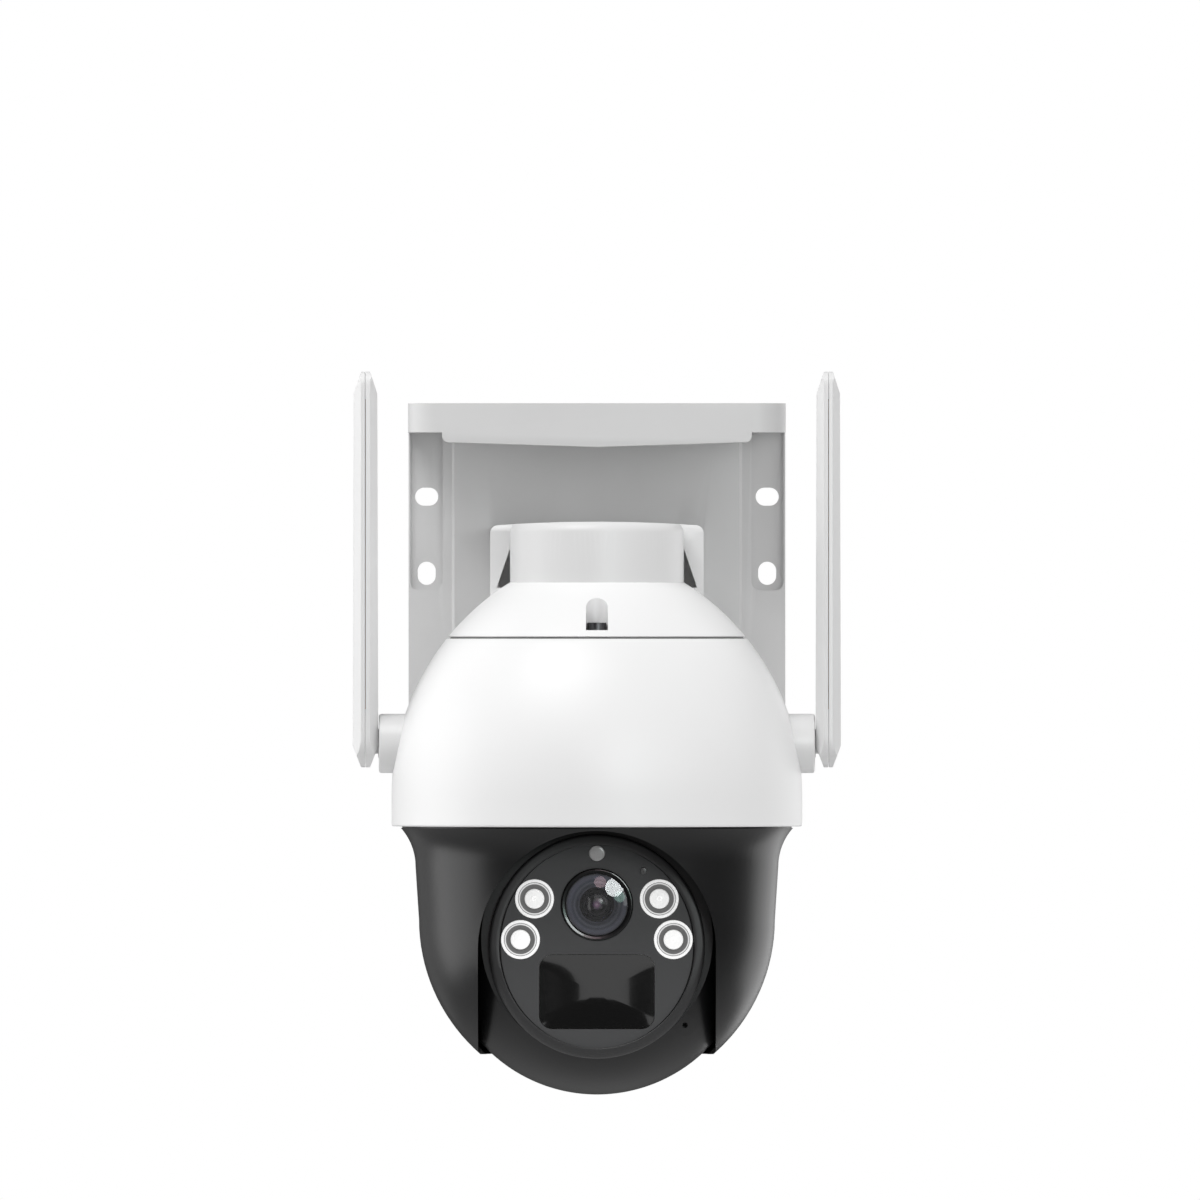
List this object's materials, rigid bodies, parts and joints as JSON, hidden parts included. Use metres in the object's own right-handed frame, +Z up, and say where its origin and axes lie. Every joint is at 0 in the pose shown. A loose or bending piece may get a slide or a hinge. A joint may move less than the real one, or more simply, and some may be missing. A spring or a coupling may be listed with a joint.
{
  "type": "security camera",
  "caption": "Pan-and-tilt dome camera with a lamp-ringed ball, two folding aerials and an L-shaped wall or ceiling bracket.",
  "frame": {"origin": "centre of the four wall slots, on the wall plane", "axes": "+Z up the wall, +Y into the wall, the camera reaches out towards -Y, +X right for a person facing the camera"},
  "size_m": [0.1426, 0.135, 0.2112],
  "materials": {
    "wall_bracket": "fine satin moulding",
    "bracket_arm": "fine satin moulding",
    "case_screws": "zinc plated",
    "cable_grommet": "soft",
    "dome_cap": "satin",
    "cap_gasket": "soft",
    "cap_screws": "plated",
    "dome_shell": "satin",
    "chassis_plate": "moulded",
    "main_board": "solder mask",
    "heat_sink": "extruded",
    "board_screws": "plated",
    "speaker": "paper cone in a basket",
    "pan_motor": "pressed steel can",
    "pan_bush": "acetal",
    "aerial_sockets": "satin",
    "pan_pinion": "acetal",
    "yoke_shell": "semi gloss",
    "yoke_back_cover": "semi gloss",
    "yoke_screws": "black oxide",
    "pan_gear": "acetal",
    "pan_hub": "acetal",
    "pan_clip": "spring steel",
    "wire_loom": "insulated leads",
    "tilt_axles": "turned",
    "tilt_gear": "acetal",
    "ball_front_shell": "semi gloss",
    "ball_rear_shell": "semi gloss",
    "ball_screws": "black oxide",
    "card_door": "semi gloss",
    "card_socket": "pressed shell",
    "tilt_bushes": "acetal",
    "tilt_motor": "pressed steel can",
    "bezel": "gloss",
    "face_gasket": "soft",
    "face_plate": "fine matt",
    "lens_barrel": "black",
    "lens_front_glass": "coated",
    "lens_inner_glass": "coated",
    "lens_holder": "moulded",
    "camera_board": "solder mask",
    "led_board": "white solder mask",
    "lamp_cups": "metallised reflector",
    "lamp_lenses": "clear",
    "lamp_chips": "phosphor on white",
    "light_sensor": "smoked",
    "status_light": "diffuse",
    "motion_window": "high gloss",
    "motion_sensor": "can",
    "microphone": "capsule",
    "tilt_pinion": "acetal",
    "reset_button": "soft",
    "aerial_left_inner_shell": "satin",
    "aerial_left_outer_shell": "satin",
    "aerial_left_blade": "copper clad",
    "aerial_left_pivot": "acetal",
    "aerial_right_inner_shell": "satin",
    "aerial_right_outer_shell": "satin",
    "aerial_right_blade": "copper clad",
    "aerial_right_pivot": "acetal"
  },
  "bodies": {
    "mount": {"wall_bracket": "wall_bracket", "bracket_arm": "bracket_arm", "case_screws": "case_screws", "cable_grommet": "cable_grommet", "dome_cap": "dome_cap", "cap_gasket": "cap_gasket", "cap_screws": "cap_screws", "dome_shell": "dome_shell", "chassis_plate": "chassis_plate", "main_board": "main_board", "heat_sink": "heat_sink", "board_screws": "board_screws", "speaker": "speaker", "pan_motor": "pan_motor", "pan_bush": "pan_bush", "aerial_sockets": "aerial_sockets"},
    "pan_pinion_body": {"pan_pinion": "pan_pinion"},
    "yoke": {"yoke_shell": "yoke_shell", "yoke_back_cover": "yoke_back_cover", "yoke_screws": "yoke_screws", "pan_gear": "pan_gear", "pan_hub": "pan_hub", "pan_clip": "pan_clip", "wire_loom": "wire_loom", "tilt_axles": "tilt_axles", "tilt_gear": "tilt_gear"},
    "ball": {"ball_front_shell": "ball_front_shell", "ball_rear_shell": "ball_rear_shell", "ball_screws": "ball_screws", "card_door": "card_door", "card_socket": "card_socket", "tilt_bushes": "tilt_bushes", "tilt_motor": "tilt_motor", "bezel": "bezel", "face_gasket": "face_gasket", "face_plate": "face_plate", "lens_barrel": "lens_barrel", "lens_front_glass": "lens_front_glass", "lens_inner_glass": "lens_inner_glass", "lens_holder": "lens_holder", "camera_board": "camera_board", "led_board": "led_board", "lamp_cups": "lamp_cups", "lamp_lenses": "lamp_lenses", "lamp_chips": "lamp_chips", "light_sensor": "light_sensor", "status_light": "status_light", "motion_window": "motion_window", "motion_sensor": "motion_sensor", "microphone": "microphone"},
    "tilt_pinion_body": {"tilt_pinion": "tilt_pinion"},
    "reset": {"reset_button": "reset_button"},
    "aerial_left": {"aerial_left_inner_shell": "aerial_left_inner_shell", "aerial_left_outer_shell": "aerial_left_outer_shell", "aerial_left_blade": "aerial_left_blade", "aerial_left_pivot": "aerial_left_pivot"},
    "aerial_right": {"aerial_right_inner_shell": "aerial_right_inner_shell", "aerial_right_outer_shell": "aerial_right_outer_shell", "aerial_right_blade": "aerial_right_blade", "aerial_right_pivot": "aerial_right_pivot"}
  },
  "joints": [
    {"name": "pan", "type": "hinge", "parent": "mount", "child": "yoke", "pos_m": [0, -0.075, -0.0656], "axis": [0, 0, 1], "range_deg": [-175, 175]},
    {"name": "tilt", "type": "hinge", "parent": "yoke", "child": "ball", "pos_m": [0, -0.075, -0.1181], "axis": [1, 0, 0], "range_deg": [-10, 90]},
    {"name": "pan_pinion_spin", "type": "hinge", "parent": "mount", "child": "pan_pinion_body", "pos_m": [0, -0.1051, -0.0596], "axis": [0, 0, 1], "range_deg": [-701, 701]},
    {"name": "tilt_pinion_spin", "type": "hinge", "parent": "ball", "child": "tilt_pinion_body", "pos_m": [0.03375, -0.06178, -0.13132], "axis": [1, 0, 0], "range_deg": [-380, 380]},
    {"name": "reset_press", "type": "slide", "parent": "ball", "child": "reset", "axis": [0, -0.766, 0.6428], "range_m": [0, 0.0005], "stiffness_N_per_m": 400, "springref_m": -0.0005},
    {"name": "aerial_left_hinge", "type": "hinge", "parent": "mount", "child": "aerial_left", "pos_m": [-0.0639, -0.075, -0.061], "axis": [1, 0, 0], "range_deg": [-20, 180]},
    {"name": "aerial_right_hinge", "type": "hinge", "parent": "mount", "child": "aerial_right", "pos_m": [0.0639, -0.075, -0.061], "axis": [1, 0, 0], "range_deg": [-20, 180]}
  ],
  "couplings": [
    {"joint": "pan_pinion_spin", "follows": "pan", "ratio": -4},
    {"joint": "tilt_pinion_spin", "follows": "tilt", "ratio": 4.1667}
  ]
}
